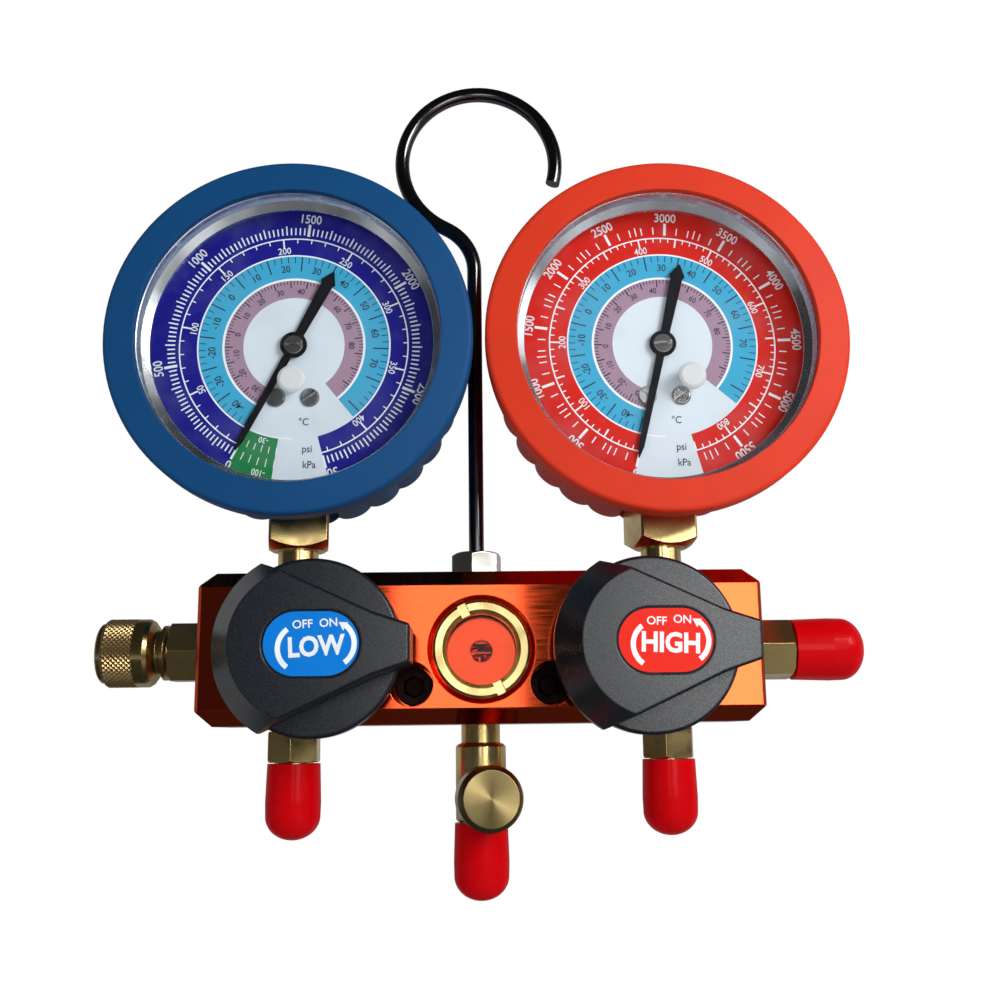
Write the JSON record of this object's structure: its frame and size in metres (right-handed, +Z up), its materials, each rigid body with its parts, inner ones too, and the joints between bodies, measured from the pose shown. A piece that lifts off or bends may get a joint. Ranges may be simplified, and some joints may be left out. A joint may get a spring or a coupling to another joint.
{
  "type": "refrigerant manifold gauge",
  "caption": "Refrigerant manifold gauge: a blue and a red booted dial gauge over an orange block with ball valves, sight glass, hose ports and a swivel hook.",
  "frame": {"origin": "centre of the block's back face", "axes": "+X to the right seen from the front, +Y away from the person reading the gauges, +Z up"},
  "size_m": [0.1989, 0.0526, 0.2239],
  "materials": {
    "anodised_block": "bright orange-red anodising, satin",
    "brass": "turned brass, bright",
    "sight_window": "clear, polished",
    "seal_rubber": "black, matt",
    "nut_steel": "bright nickel plating",
    "black_chrome": "black chrome",
    "spun_brass": "turned face with fine rings",
    "knurled_brass": "antique brass with a diamond knurl",
    "red_vinyl": "glossy dipped vinyl",
    "seat_plastic": "white sealing plastic",
    "steel": "plain steel",
    "knob_plastic": "black satin plastic",
    "low_label": "blue printed label",
    "high_label": "red printed label",
    "blue_boot": "blue satin rubber",
    "red_boot": "red satin rubber",
    "case_steel": "polished pressed steel",
    "clear_window": "clear acrylic",
    "plug_rubber": "translucent grey",
    "low_dial_print": "printed dial, blue, pale blue, mauve and white",
    "high_dial_print": "printed dial, red, pale blue, mauve and white",
    "pointer_black": "satin black",
    "spring_bronze": "phosphor bronze"
  },
  "bodies": {
    "manifold": {"manifold_block": "anodised_block", "sight_glass_ring": "brass", "sight_glass": "sight_window", "sight_glass_seal": "seal_rubber", "hook_nut": "nut_steel", "tee_body": "brass", "valve_seats": "seat_plastic", "right_fitting": "brass", "left_fitting": "brass", "low_boot": "blue_boot", "low_case": "case_steel", "low_bezel": "case_steel", "low_lens": "clear_window", "low_lens_plug": "plug_rubber", "low_dial": "low_dial_print", "low_dial_screws": "steel", "low_movement_frame": "brass", "low_bourdon_tube": "spring_bronze", "low_hairspring": "spring_bronze", "low_gauge_socket": "brass", "low_hose_fitting": "brass", "low_valve_bonnet": "brass", "high_boot": "red_boot", "high_case": "case_steel", "high_bezel": "case_steel", "high_lens": "clear_window", "high_lens_plug": "plug_rubber", "high_dial": "high_dial_print", "high_dial_screws": "steel", "high_movement_frame": "brass", "high_bourdon_tube": "spring_bronze", "high_hairspring": "spring_bronze", "high_gauge_socket": "brass", "high_hose_fitting": "brass", "high_valve_bonnet": "brass"},
    "hook": {"hanger_hook": "black_chrome"},
    "low_valve": {"low_valve_ball": "steel", "low_valve_stem": "steel", "low_knob": "knob_plastic", "low_knob_screw": "steel", "low_knob_label": "low_label"},
    "low_sector": {"low_sector_gear": "brass"},
    "low_hand": {"low_pointer": "pointer_black", "low_pinion": "steel"},
    "low_link": {"low_tip_link": "brass"},
    "low_port_cap": {"low_hose_cap": "red_vinyl"},
    "high_valve": {"high_valve_ball": "steel", "high_valve_stem": "steel", "high_knob": "knob_plastic", "high_knob_screw": "steel", "high_knob_label": "high_label"},
    "high_sector": {"high_sector_gear": "brass"},
    "high_hand": {"high_pointer": "pointer_black", "high_pinion": "steel"},
    "high_link": {"high_tip_link": "brass"},
    "high_port_cap": {"high_hose_cap": "red_vinyl"},
    "right_port_cap": {"right_cap": "red_vinyl"},
    "left_port_cap": {"left_cap": "knurled_brass"},
    "tee_port_cap": {"tee_hose_cap": "red_vinyl"},
    "tee_front_cap": {"tee_cap": "spun_brass"}
  },
  "joints": [
    {"name": "hook_swivel", "type": "hinge", "parent": "manifold", "child": "hook", "pos_m": [-0.001, -0.015, 0.0192], "axis": [0, 0, 1], "continuous": true},
    {"name": "low_valve_turn", "type": "hinge", "parent": "manifold", "child": "low_valve", "pos_m": [-0.041, -0.015, -0.0008], "axis": [0, -1, 0], "range_deg": [0, 90]},
    {"name": "low_sector_turn", "type": "hinge", "parent": "manifold", "child": "low_sector", "pos_m": [-0.0482, -0.0225, 0.0602], "axis": [0, -1, 0], "range_deg": [-2.38, 39.75], "stiffness_Nm_per_rad": 0.01, "deforming": ["low_bourdon_tube", "low_hairspring"]},
    {"name": "low_pointer_turn", "type": "hinge", "parent": "manifold", "child": "low_hand", "pos_m": [-0.0482, -0.03, 0.0782], "axis": [0, 1, 0], "range_deg": [-19.5, 318.5]},
    {"name": "low_link_turn", "type": "hinge", "parent": "low_sector", "child": "low_link", "pos_m": [-0.05008, -0.0214, 0.05503], "axis": [0, -1, 0], "range_deg": [-40.25, 2.88]},
    {"name": "low_cap_pull", "type": "slide", "parent": "manifold", "child": "low_port_cap", "axis": [0, 0, -1], "range_m": [0, 0.03]},
    {"name": "high_valve_turn", "type": "hinge", "parent": "manifold", "child": "high_valve", "pos_m": [0.041, -0.015, -0.0008], "axis": [0, -1, 0], "range_deg": [0, 90]},
    {"name": "high_sector_turn", "type": "hinge", "parent": "manifold", "child": "high_sector", "pos_m": [0.0482, -0.0225, 0.0602], "axis": [0, -1, 0], "range_deg": [0, 41.45], "stiffness_Nm_per_rad": 0.01, "deforming": ["high_bourdon_tube", "high_hairspring"]},
    {"name": "high_pointer_turn", "type": "hinge", "parent": "manifold", "child": "high_hand", "pos_m": [0.0482, -0.03, 0.0782], "axis": [0, 1, 0], "range_deg": [-0.5, 332.1]},
    {"name": "high_link_turn", "type": "hinge", "parent": "high_sector", "child": "high_link", "pos_m": [0.04632, -0.0214, 0.05503], "axis": [0, -1, 0], "range_deg": [-41.95, 0.5]},
    {"name": "high_cap_pull", "type": "slide", "parent": "manifold", "child": "high_port_cap", "axis": [0, 0, -1], "range_m": [0, 0.03]},
    {"name": "tee_cap_pull", "type": "slide", "parent": "manifold", "child": "tee_port_cap", "axis": [0, 0, -1], "range_m": [0, 0.03]},
    {"name": "right_cap_pull", "type": "slide", "parent": "manifold", "child": "right_port_cap", "axis": [1, 0, 0], "range_m": [0, 0.03]},
    {"name": "left_cap_draw", "type": "slide", "parent": "manifold", "child": "left_port_cap", "axis": [-1, 0, 0], "range_m": [0, 0.025]},
    {"name": "tee_cap_draw", "type": "slide", "parent": "manifold", "child": "tee_front_cap", "axis": [0.1392, -0.9903, 0], "range_m": [0, 0.02]}
  ],
  "couplings": [
    {"joint": "low_pointer_turn", "follows": "low_sector_turn", "ratio": 8},
    {"joint": "low_link_turn", "follows": "low_sector_turn", "ratio": -1},
    {"joint": "high_pointer_turn", "follows": "high_sector_turn", "ratio": 8},
    {"joint": "high_link_turn", "follows": "high_sector_turn", "ratio": -1}
  ]
}
